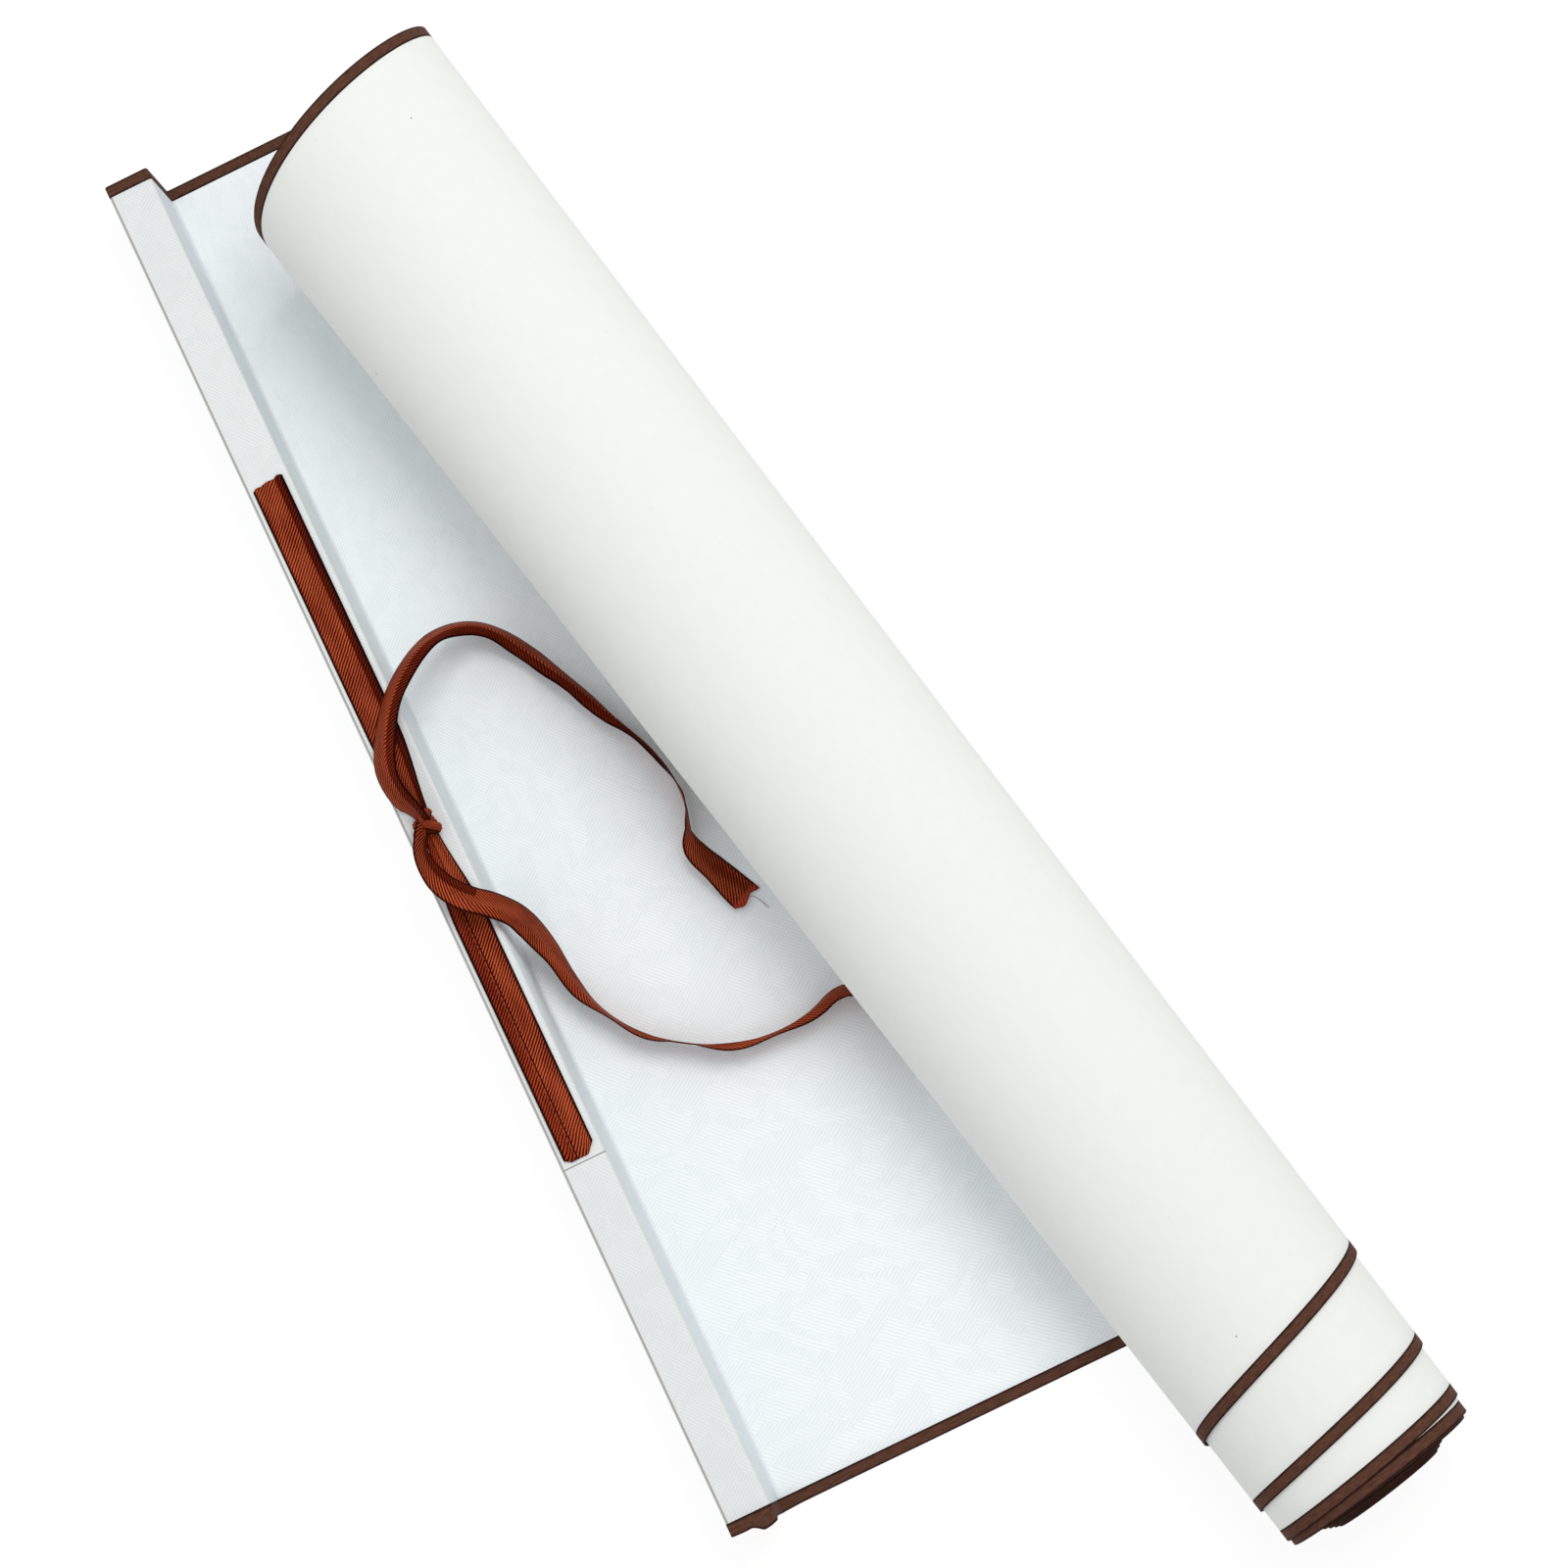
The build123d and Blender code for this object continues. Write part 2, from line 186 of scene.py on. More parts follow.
def skew_at(turn):
    """Angle between the roll's axis and the sheet's own cross direction."""
    return core_skew + (roll_skew - core_skew) * skew_share(turn) ** skew_power


def roll_place(turn, angle, axial, far_end):
    """Point of the turn at that angle from its foot and that place along the roll's axis."""
    eased = (angle - sin(angle)) / (2 * pi)
    here, later = turn_sizes(turn), turn_sizes(turn + 1)
    radius, foot, spot = here + (later - here) * eased
    cone = cone_growth * skew_share(turn + eased) ** cone_power
    radius += cone * (axial - far_end) / sheet_width
    sideways = radius * sin(angle) + spot * cos(angle / 2)
    return along_roll * axial + across_roll * sideways + up * (foot + radius * (1 - cos(angle)))


def roll_station(turn, angle, axial, far_end):
    """Line across the sheet in the roll."""
    skew = skew_at(turn + angle / (2 * pi))
    low = roll_place(turn, angle, axial, far_end)
    high = roll_place(turn, angle, axial + sheet_width / cos(skew), far_end)
    return station(low, high, up * cos(angle) - across_roll * sin(angle))


def rolled_lines(far_end, steps):
    """Lines of all turns from the floor inwards, each slid along the axis by the skew."""
    axial = -(half_width + flat_spot / 2 * sin(roll_skew)) / cos(roll_skew)
    lines = []
    for turn in range(all_turns):
        lines.append(roll_station(turn, 0, axial, far_end))
        for step in range(1, steps + 1):
            probe = roll_station(turn, 2 * pi * step / steps, axial, far_end)[0] - lines[-1][0]
            around = np.linalg.norm(probe - along_roll * probe.dot(along_roll))
            axial -= around * tan(skew_at(turn + (step - 0.5) / steps))
            lines.append(roll_station(turn, 2 * pi * step / steps, axial, far_end))
        axial -= 2 * turn_sizes(turn + 1)[2] * tan(skew_at(turn + 1))
    return lines, axial


def sheet_lines():
    """All lines of the sheet, from its hem to the rod. The roll's far end is found by trial."""
    far_end = 0.0
    for steps in (24, 48, 48):
        far_end = rolled_lines(far_end, steps)[1]
    rolled = rolled_lines(far_end, turn_steps)[0]
    wrap = stave_wrap()
    start, stop = wrap[-1], rolled[0]
    return wrap + between(start, stop, flat_steps) + rolled


def ring_mesh(name, rings, uvs, closed=False):
    """Mesh through equal rings of points, capped or closed on itself, with a UV map in metres."""
    count = len(rings[0])
    points = np.array(rings).reshape(-1, 3)
    faces = []
    turns = len(rings) if closed else len(rings) - 1
    for i in range(turns):
        j = (i + 1) % len(rings)
        for k in range(count):
            m = (k + 1) % count
            faces.append((i * count + k, i * count + m, j * count + m, j * count + k))
    if not closed:
        last = (len(rings) - 1) * count
        faces.append(tuple(reversed(range(count))))
        faces.append(tuple(range(last, last + count)))
    mesh = bpy.data.meshes.new(name)
    mesh.from_pydata(points.tolist(), [], faces)
    flat = np.array(uvs).reshape(-1, 2)
    layer = mesh.uv_layers.new(name="flat")
    index = np.empty(len(mesh.loops), int)
    mesh.loops.foreach_get("vertex_index", index)
    layer.data.foreach_set("uv", flat[index].ravel())
    mesh.shade_smooth()
    piece = bpy.data.objects.new(name, mesh)
    bpy.context.scene.collection.objects.link(piece)
    return piece


def distances(points):
    """Distance of each point from the first, along the line through them."""
    return np.concatenate(([0.0], np.cumsum(np.linalg.norm(np.diff(points, axis=0), axis=1))))


def line_places(lines):
    """Distance of each line from the hem, along the sheet's middle."""
    return distances(np.array([(low + high) / 2 for low, high, _ in lines]))


def sheet_strip(name, lines, across, half):
    """Closed thin strip through the lines, over the given distances from the lower edge."""
    places = line_places(lines)
    rings, uvs = [], []
    for (low, high, normal), place in zip(lines, places):
        reach = (high - low) / np.linalg.norm(high - low)
        row = [low + reach * d * np.linalg.norm(high - low) / sheet_width for d in across]
        face = [point + normal * half for point in row]
        back = [point - normal * half for point in reversed(row)]
        rings.append(face + back)
        uvs.append([(d, place) for d in across] + [(d, place) for d in reversed(across)])
    return ring_mesh(name, rings, uvs)


def make_sheet(lines):
    """The sheet: paper side and damask side, between its edge strips."""
    inset = 0.3 * millimetre
    start, stop = inset + edge_column, sheet_width - inset - edge_column
    between_edges = [start + (stop - start) * k / columns for k in range(columns + 1)]
    across = [inset] + between_edges + [sheet_width - inset]
    sheet = sheet_strip("paper_sheet", lines, across, half_sheet - binding_rise)
    count = 2 * len(across)
    sheet.data.materials.append(damask_material())
    sheet.data.materials.append(paper_material())
    for face in sheet.data.polygons:
        first = face.vertices[0] % count
        if first >= len(across) or face.vertices[1] % count >= len(across):
            face.material_index = 1
    return sheet


def worn_overhang(place):
    """How far the worn lower strip hangs out beyond the sheet, at a distance from the hem."""
    # In millimetres; it is worn over the top of the stave and down its front
    places = (36, 41, 44, 46, 47.5, 49, 51.5, 54, 57, 62, 78, 84)
    overhangs = (0, 0.4, 0.5, 0.35, 1.2, 2.4, 2.1, 1.3, 0.5, 0.3, 0.4, 0)
    return float(np.interp(place / millimetre, places, overhangs)) * millimetre


def make_binding(lines, upper, material):
    """Brown strip folded over one long edge, with rounded rims."""
    # Distance from the edge in millimetres, and height as a share of half the sheet's thickness
    rim = ((0.0, 0.5), (0.06, 0.85), (0.2, 1.0), (3.65, 1.0), (3.8, 0.75))
    rim_width = 1 * millimetre
    profile = [(d * millimetre, h * half_sheet) for d, h in rim]
    outline = profile + [(d, -h) for d, h in reversed(profile)]
    places = line_places(lines)
    rings, uvs = [], []
    for (low, high, normal), place in zip(lines, places):
        reach = (high - low) / sheet_width
        ring = []
        for d, h in outline:
            if d < rim_width and not upper:
                d -= worn_overhang(place)
            share = sheet_width - d if upper else d
            ring.append(low + reach * share + normal * h)
        rings.append(ring)
        uvs.append([(d, place) for d, _ in outline])
    if upper:
        rings = [ring[::-1] for ring in rings]
        uvs = [uv[::-1] for uv in uvs]
    name = "binding_strip_upper" if upper else "binding_strip_lower"
    strip = ring_mesh(name, rings, uvs)
    strip.data.materials.append(material)
    return strip


# Tints that leave a colour as it is, or take it all away
plain = (1, 1, 1)
black = (0, 0, 0)


def new_material(name):
    """New node material, with its tree and its shader."""
    material = bpy.data.materials.new(name)
    material.use_nodes = True
    tree = material.node_tree
    shader = tree.nodes["Principled BSDF"]
    return material, tree, shader


def flat_coordinates(tree, angle=0, scale=(1, 1, 1)):
    """UV map in metres, turned by an angle and scaled."""
    uv = tree.nodes.new("ShaderNodeUVMap")
    uv.uv_map = "flat"
    mapping = tree.nodes.new("ShaderNodeMapping")
    mapping.inputs["Rotation"].default_value[2] = angle
    mapping.inputs["Scale"].default_value = scale
    tree.links.new(uv.outputs["UV"], mapping.inputs["Vector"])
    return mapping.outputs["Vector"]


def wave(tree, vector, scale, distortion=0.0):
    """Fine parallel lines, as a value from 0 to 1."""
    node = tree.nodes.new("ShaderNodeTexWave")
    node.wave_type = "BANDS"
    node.bands_direction = "X"
    node.inputs["Scale"].default_value = scale
    node.inputs["Distortion"].default_value = distortion
    tree.links.new(vector, node.inputs["Vector"])
    return node.outputs["Fac"]


def noise(tree, vector, scale, detail=2.0, distortion=0.0):
    """Soft noise, as a value from 0 to 1."""
    node = tree.nodes.new("ShaderNodeTexNoise")
    node.inputs["Scale"].default_value = scale
    node.inputs["Detail"].default_value = detail
    node.inputs["Distortion"].default_value = distortion
    tree.links.new(vector, node.inputs["Vector"])
    return node.outputs["Fac"]


def ramp(tree, value, stops):
    """Colour ramp through (place, colour) stops."""
    node = tree.nodes.new("ShaderNodeValToRGB")
    while len(node.color_ramp.elements) < len(stops):
        node.color_ramp.elements.new(1.0)
    for element, (place, colour) in zip(node.color_ramp.elements, stops):
        element.position = place
        element.color = (*colour, 1)
    tree.links.new(value, node.inputs["Fac"])
    return node.outputs["Color"]


def mix_values(tree, share, a, b):
    """Value between a and b."""
    node = tree.nodes.new("ShaderNodeMix")
    node.data_type = "FLOAT"
    for socket, value in zip(("Factor", "A", "B"), (share, a, b)):
        if isinstance(value, float):
            node.inputs[socket].default_value = value
        else:
            tree.links.new(value, node.inputs[socket])
    return node.outputs["Result"]


def mix_colours(tree, share, a, b, mode="MIX"):
    """Colour between a and b, or between a and a times b."""
    node = tree.nodes.new("ShaderNodeMix")
    node.data_type = "RGBA"
    node.blend_type = mode
    slots = [node.inputs[0], node.inputs[6], node.inputs[7]]
    for socket, value in zip(slots, (share, a, b)):
        if isinstance(value, float):
            socket.default_value = value
        elif isinstance(value, tuple):
            socket.default_value = (*value, 1)
        else:
            tree.links.new(value, socket)
    return node.outputs[2]


def tinted(tree, share, colour, tint):
    """The colour, multiplied by a tint where the share is 1."""
    return mix_colours(tree, share, colour, tint, "MULTIPLY")


def bump(tree, shader, height, distance, strength=1.0):
    """Relief of that height in metres on the shader."""
    node = tree.nodes.new("ShaderNodeBump")
    node.inputs["Strength"].default_value = strength
    node.inputs["Distance"].default_value = distance
    tree.links.new(height, node.inputs["Height"])
    tree.links.new(node.outputs["Normal"], shader.inputs["Normal"])


def uv_parts(tree):
    """The two distances of the UV map: across the strip and along it."""
    uv = tree.nodes.new("ShaderNodeUVMap")
    uv.uv_map = "flat"
    split = tree.nodes.new("ShaderNodeSeparateXYZ")
    tree.links.new(uv.outputs["UV"], split.inputs[0])
    return split.outputs["X"], split.outputs["Y"]


def calculate(tree, operation, *values):
    """Result of one Math node."""
    node = tree.nodes.new("ShaderNodeMath")
    node.operation = operation
    for socket, value in zip(node.inputs, values):
        if isinstance(value, (int, float)):
            socket.default_value = value
        else:
            tree.links.new(value, socket)
    return node.outputs[0]


def across_ribbon(tree):
    """Place across a ribbon, from 0 at one selvedge to 1 at the other."""
    across, _ = uv_parts(tree)
    return calculate(tree, "ADD", calculate(tree, "DIVIDE", across, ribbon_width), 0.5)


def near_value(tree, value, place, reach):
    """1 where the value is within reach of a place, else 0."""
    distance = calculate(tree, "ABSOLUTE", calculate(tree, "SUBTRACT", value, place))
    return calculate(tree, "LESS_THAN", distance, reach)


def stitch_mask(tree, across, place):
    """Row of short stitches along a ribbon."""
    _, along = uv_parts(tree)
    near = near_value(tree, across, place, stitch_reach)
    beat = calculate(tree, "FRACT", calculate(tree, "DIVIDE", along, stitch_pitch))
    return calculate(tree, "MULTIPLY", near, calculate(tree, "LESS_THAN", beat, stitch_share))


def damask_material():
    """Pale bluish silk damask: fine slanted weave with faint cloud figures in it."""
    material, tree, shader = new_material("damask")
    one_slant, other_slant = radians(38), radians(-52)
    one_way = wave(tree, flat_coordinates(tree, one_slant), scale=340.0, distortion=1.5)
    other_way = wave(tree, flat_coordinates(tree, other_slant), scale=340.0, distortion=1.5)
    figures = noise(tree, flat_coordinates(tree), scale=55.0, detail=1.5, distortion=2.4)
    mask = ramp(tree, figures, [(0.47, black), (0.53, plain)])
    weave = mix_values(tree, mask, one_way, other_way)
    thread_share = 0.45
    weave = mix_values(tree, thread_share, weave, noise(tree, flat_coordinates(tree), scale=1300.0))
    between_figures, in_figures = (0.885, 0.925, 0.94), (0.91, 0.945, 0.96)
    ground = mix_colours(tree, mask, between_figures, in_figures)
    groove = (0.9, 0.905, 0.91)
    colour = tinted(tree, 1.0, ground, ramp(tree, weave, [(0.25, groove), (0.75, plain)]))

    # Greyer over the back and top of the stave, with painted shade on its front face and a painted shadow
    # line near its foot; places are shares of the wrap's length
    across, along = uv_parts(tree)
    share = calculate(tree, "DIVIDE", along, wrap_length)
    # The front tint is painted shade on the stave's front face; the top tint only makes the top greyer
    top, front = (0.84, 0.828, 0.81), (0.855, 0.88, 0.895)
    front_end, floor_start = 0.985, 0.995
    stops = [(0.0, top), (front_start, top), (front_start + 0.02, front), (front_end, front)]
    colour = tinted(tree, 1.0, colour, ramp(tree, share, stops + [(floor_start, plain)]))
    # Painted shadow line along the foot of the stave, where the sheet meets it
    foot_shadow_place, foot_shadow_reach, foot_shadow_colour = 0.979, 0.007, (0.7, 0.74, 0.765)
    colour = mix_colours(tree, near_value(tree, share, foot_shadow_place, foot_shadow_reach), colour, foot_shadow_colour)

    # Dark seam across the top of the stave, and a thin painted shadow line along its back edge
    seam = near_value(tree, across, half_width + seam_place, seam_reach)
    on_top = near_value(tree, share, (front_start + top_start) / 2, (front_start - top_start) / 2)
    seam_colour, edge_shadow_colour = (0.2, 0.18, 0.16), (0.4, 0.38, 0.35)
    colour = mix_colours(tree, calculate(tree, "MULTIPLY", seam, on_top), colour, seam_colour)
    # Painted shadow line along the back edge of the stave's top
    edge_shadow_shift, edge_shadow_reach = 0.002, 0.004
    back_edge_shadow = near_value(tree, share, top_start + edge_shadow_shift, edge_shadow_reach)
    colour = mix_colours(tree, back_edge_shadow, colour, edge_shadow_colour)
    tree.links.new(colour, shader.inputs["Base Color"])
    shader.inputs["Roughness"].default_value = 0.7
    bump(tree, shader, weave, distance=0.05 * millimetre, strength=0.7)
    return material


def paper_material():
    """Creamy backing paper, nearly smooth, with a few specks."""
    material, tree, shader = new_material("backing_paper")
    mottle = noise(tree, flat_coordinates(tree), scale=220.0, detail=4.0)
    darker, lighter, speck_colour = (0.79, 0.797, 0.762), (0.805, 0.812, 0.78), (0.25, 0.22, 0.18)
    colour = ramp(tree, mottle, [(0.3, darker), (0.7, lighter)])
    specks = noise(tree, flat_coordinates(tree), scale=700.0, detail=0.0)
    mask = ramp(tree, specks, [(0.0, plain), (0.06, plain), (0.075, black)])
    colour = mix_colours(tree, mask, colour, speck_colour)
    tree.links.new(colour, shader.inputs["Base Color"])
    shader.inputs["Roughness"].default_value = 0.85
    bump(tree, shader, mottle, distance=0.02 * millimetre, strength=0.4)
    return material


def binding_material():
    """Dark brown silk strip, with thin lines of painted shade along its rims."""
    material, tree, shader = new_material("brown_silk")
    grain = noise(tree, flat_coordinates(tree, scale=(1, 0.2, 1)), scale=1800.0, detail=3.0)
    darker, lighter, rim_shade_tint = (0.062, 0.026, 0.015), (0.122, 0.051, 0.033), (0.22, 0.2, 0.2)
    colour = ramp(tree, grain, [(0.3, darker), (0.7, lighter)])
    across = calculate(tree, "DIVIDE", uv_parts(tree)[0], binding_width)
    # Painted shade along both rims of the strip
    rims = ramp(tree, across, [(0.08, rim_shade_tint), (0.17, plain), (0.8, plain), (0.9, rim_shade_tint)])
    colour = tinted(tree, 1.0, colour, rims)
    tree.links.new(colour, shader.inputs["Base Color"])
    shader.inputs["Roughness"].default_value = 0.7
    shader.inputs["Specular IOR Level"].default_value = 0.05
    bump(tree, shader, grain, distance=0.03 * millimetre, strength=0.6)
    return material


def ribbon_material(name, style):
    """Red-brown satin: slanted twill between dark selvedges, with painted sheen on its light threads and
    painted shade where it is folded away.
    """
    material, tree, shader = new_material(name)
    slant = radians(42)
    twill = wave(tree, flat_coordinates(tree, slant), scale=360.0, distortion=1.6)
    threads = noise(tree, flat_coordinates(tree), scale=2200.0)
    drift = noise(tree, flat_coordinates(tree, scale=(1, 0.25, 1)), scale=170.0, detail=3.0)
    thread_share, drift_share = 0.42, 0.4
    value = mix_values(tree, thread_share, twill, threads)
    value = mix_values(tree, drift_share, value, drift)
    # The light end of the ramp stands for lighter threads and also for painted sheen of the satin
    satin_dark = (0.036, 0.0015, 0.0008)
    satin_mid = (0.158, 0.015, 0.0035)
    satin_light_and_sheen = (0.48, 0.095, 0.034)
    colour = ramp(tree, value, [(0.33, satin_dark), (0.49, satin_mid), (0.66, satin_light_and_sheen)])
    across, along = across_ribbon(tree), uv_parts(tree)[1]
    edge = (0.1, 0.05, 0.04)
    selvedge = ramp(tree, across, [(0.0, edge), (0.045, edge), (0.1, plain), (0.9, plain), (0.955, edge)])
    colour = tinted(tree, 1.0, colour, selvedge)
    if style == "hanging":
        beyond = calculate(tree, "GREATER_THAN", along, knot_place)
        before = calculate(tree, "SUBTRACT", 1.0, beyond)
        # Painted shade on the folded strips: the right one beyond the knot, the left one before it
        right = calculate(tree, "MULTIPLY", calculate(tree, "GREATER_THAN", across, upper_fold), beyond)
        left = calculate(tree, "MULTIPLY", calculate(tree, "LESS_THAN", across, lower_fold), before)
        right_fold_shade_tint, left_fold_shade_tint, stitch_colour = (0.33, 0.16, 0.1), (0.78, 0.6, 0.55), (0.27, 0.045, 0.02)
        colour = tinted(tree, right, colour, right_fold_shade_tint)
        colour = tinted(tree, left, colour, left_fold_shade_tint)
        # Dark line of painted shade along the crease of the lower fold
        crease = near_value(tree, across, lower_fold, crease_reach)
        colour = mix_colours(tree, calculate(tree, "MULTIPLY", crease, before), colour, satin_dark)
        stitches = calculate(tree, "MULTIPLY", stitch_mask(tree, across, stitch_place), before)
        colour = mix_colours(tree, stitches, colour, stitch_colour)
    elif style != "plain":
        side, crease, end = "LESS_THAN", lower_crease, lower_crease_end
        if style == "upper crease":
            side, crease, end = "GREATER_THAN", upper_crease, upper_crease_end
        # Painted shade on the folded side of the crease, up to a distance along the tail
        folded_side_shade = calculate(tree, side, across, crease)
        folded_side_shade = calculate(tree, "MULTIPLY", folded_side_shade, calculate(tree, "LESS_THAN", along, end))
        folded_side_shade_tint, fray_colour, fray_share = (0.4, 0.25, 0.2), (0.42, 0.05, 0.03), 0.6
        colour = tinted(tree, folded_side_shade, colour, folded_side_shade_tint)
        cut = calculate(tree, "ADD", along, calculate(tree, "MULTIPLY", threads, fray_depth))
        frayed = calculate(tree, "GREATER_THAN", cut, fray_start)
        colour = mix_colours(tree, calculate(tree, "MULTIPLY", frayed, fray_share), colour, fray_colour)
    tree.links.new(colour, shader.inputs["Base Color"])
    shader.inputs["Roughness"].default_value = 0.5
    shader.inputs["Specular IOR Level"].default_value = 0.02
    bump(tree, shader, value, distance=0.1 * millimetre, strength=0.8)
    return material


def wood_material():
    """Plain pale wood of the stave and the rod."""
    material, tree, shader = new_material("wood")
    coordinates = tree.nodes.new("ShaderNodeTexCoord")
    mapping = tree.nodes.new("ShaderNodeMapping")
    mapping.inputs["Scale"].default_value = (1, 0.05, 1)
    tree.links.new(coordinates.outputs["Object"], mapping.inputs["Vector"])
    grain = noise(tree, mapping.outputs["Vector"], scale=900.0, detail=3.0)
    darker, lighter = (0.42, 0.27, 0.15), (0.58, 0.42, 0.26)
    colour = ramp(tree, grain, [(0.3, darker), (0.7, lighter)])
    tree.links.new(colour, shader.inputs["Base Color"])
    shader.inputs["Roughness"].default_value = 0.7
    return material


# Routes of the tails: distance in front of the stave, Y, Z in millimetres, then in degrees its lean,
# where 0 stands on its edge and 90 lies flat, and how far its upper third is folded over
tail_a_route = [
    (-7.4, 3.6, 31.6, 20, 0),
    (-8.2, 7.0, 33.5, 25, 0),
    (-10.8, 11.9, 34.4, 34, 15),
    (-11.4, 21.9, 34.5, 42, 30),
    (-7.2, 31.4, 34.4, 40, 35),
    (-0.6, 40.6, 34.0, 37, 40),
    (9.6, 50.6, 29.6, 31, 45),
    (19.3, 56.0, 19.5, 30, 50),
    (28.0, 56.5, 10.0, 22, 50),
    (35.4, 51.2, 6.2, 18, 60),
    (42.4, 39.3, 5.4, 19, 80),
    (49.9, 24.3, 5.4, 10, 50),
    (56.7, 9.1, 5.7, 0, 55),
    (63.5, -6.0, 5.8, 0, 10),
    (64.8, -20.6, 5.8, 0, 0),
    (61.7, -30.0, 5.8, 0, 0),
    (60.2, -36.4, 5.0, 34, 0),
    (63.6, -44.8, 3.2, 56, 0),
    (68.5, -56.3, 1.9, 76, 0),
]
tail_b_route = [
    (-8.0, 0.6, 31.4, 10, 0),
    (-9.9, -2.5, 33.5, 9, 0),
    (-11.9, -7.8, 34.4, 22, 0),
    (-10.7, -15.8, 34.5, 40, 10),
    (-5.5, -23.2, 34.2, 49, 15),
    (1.6, -28.7, 32.0, 49, 20),
    (6.6, -34.9, 22.0, 43, 25),
    (8.7, -42.6, 11.0, 30, 25),
    (9.9, -52.8, 5.6, 16, 25),
    (12.7, -64.3, 5.5, 8, 20),
    (18.9, -75.5, 5.7, 4, 15),
    (28.7, -85.2, 5.8, 0, 10),
    (41.2, -92.7, 5.9, 3, 20),
    (55.4, -97.0, 5.8, 5, 30),
    (70.3, -96.4, 5.5, 10, 30),
    (82.1, -92.8, 5.4, 26, 20),
    (90.5, -99.5, 5.6, 20, 10),
    (94.6, -112.0, 5.8, 10, 0),
    (97.8, -125.5, 5.9, 0, 0),
]


def route_curve(name, route):
    """Points of a smooth curve along the route, from its first place to its last."""
    data = bpy.data.curves.new(name, "CURVE")
    data.dimensions = "3D"
    data.resolution_u = 12
    spline = data.splines.new("NURBS")
    spline.points.add(len(route) - 1)
    for point, (x, y, z, _, _) in zip(spline.points, route):
        point.co = (stave_front + x * millimetre, y * millimetre, z * millimetre, 1)
    spline.order_u = 3
    spline.use_endpoint_u = True
    curve = bpy.data.objects.new(name, data)
    bpy.context.scene.collection.objects.link(curve)
    bpy.context.view_layer.update()
    mesh = bpy.data.meshes.new_from_object(curve.evaluated_get(bpy.context.evaluated_depsgraph_get()))
    points = np.array([vertex.co[:] for vertex in mesh.vertices])
    bpy.data.meshes.remove(mesh)
    bpy.data.objects.remove(curve)
    return points


def band_rings(points, leans, folds, width, thickness):
    """Rings of a flat band along the points. Each leans by its angle, and its upper third folds over."""
    ways = np.gradient(points, axis=0)
    ways /= np.linalg.norm(ways, axis=1)[:, None]
    places = distances(points)
    shares = (-1, -0.75, -0.5, -0.25, 0, 0.2, 0.3, 0.4, 0.6, 0.8, 1)
    crease = 0.3
    selvedge_share = 0.55
    rings, uvs = [], []
    for point, way, lean, fold, place in zip(points, ways, leans, folds, places):
        upright = up - way * up.dot(way)
        upright /= np.linalg.norm(upright)
        side = np.cross(way, upright)
        across = upright * cos(lean) + side * sin(lean)
        normal = np.cross(way, across)
        folded = across * cos(fold) + normal * sin(fold)
        top, bottom, row = [], [], []
        for share in shares:
            thick = thickness / 2 * (selvedge_share if abs(share) == 1 else 1)
            below, above = min(share, crease), max(share - crease, 0.0)
            centre = point + (across * below + folded * above) * width / 2
            out = normal if above == 0 else np.cross(way, folded)
            top.append(centre + out * thick)
            bottom.append(centre - out * thick)
            row.append((share * width / 2, place))
        rings.append(top + bottom[::-1])
        uvs.append(row + row[::-1])
    return rings, uvs


def make_tail(name, route, material):
    """Ribbon tail along its route, leaning and folded as the route says, and the line it follows."""
    points = route_curve(name + "_route", route)
    knots = np.array([row[:3] for row in route]) * millimetre
    knots[:, 0] += stave_front
    nearest = [np.linalg.norm(points - knot, axis=1).argmin() for knot in knots]
    leans = np.interp(range(len(points)), nearest, [radians(row[3]) for row in route])
    folds = np.interp(range(len(points)), nearest, [radians(row[4]) for row in route])

    # Small uneven twists and creases beside the route's own
    places = distances(points)
    twist, short_wave, long_wave = radians(2.5), 6.3 * millimetre, 17.0 * millimetre
    leans = leans + twist * np.sin(places / short_wave) * np.sin(places / long_wave)
    crumple, fold_wave = radians(12), 4.1 * millimetre
    folds = folds + crumple * np.sin(places / fold_wave + 1.0)
    rings, uvs = band_rings(points, leans, folds, tie_width, tie_thickness)

    # Uneven cut at the far end, with its two corners lifted
    cut_depth, corner_lift = 0.9, 0.5
    ahead = (points[-1] - points[-2]) / np.linalg.norm(points[-1] - points[-2])
    for k, (across, _) in enumerate(uvs[-1]):
        share = 2 * across / tie_width
        shift = ahead * cut_depth * sin(4 * share) + up * corner_lift * share**2
        rings[-1][k] = rings[-1][k] + shift * millimetre
    tail = ring_mesh(name, rings, uvs)
    tail.data.materials.append(material)
    return tail, points


# Hanging ribbon
ribbon_upper_end = 118.4 * millimetre
ribbon_lower_end = -105.3 * millimetre
ribbon_clearance = 0.03 * millimetre
ribbon_seat = stave_height + ribbon_clearance
pinch_reach = 32.0 * millimetre
pinch_width = 4.5 * millimetre
pinch_lift = 0.8 * millimetre
pleat_height = 0.5 * millimetre


def uneven_lower_end(share):
    """How far the lower end moves along the ribbon and up: its two corners against its middle."""
    middle_shift, right_shift, left_shift = -1.9, 3.2, 1.2
    right_start, left_start, lift_start = 0.45, 0.6, 0.4
    corner_lift = 0.7 * millimetre
    right = right_shift * max(0.0, share - right_start) / (1 - right_start)
    left = left_shift * max(0.0, -share - left_start) / (1 - left_start)
    shift = millimetre * (middle_shift + right + left)
    return shift, corner_lift * max(0.0, share - lift_start)


def uneven_upper_end(share):
    """How far the upper end moves along the ribbon: a slant with small waves."""
    slant, ripple = 0.6 * millimetre, 0.35 * millimetre
    return slant * share + ripple * cos(9 * share)


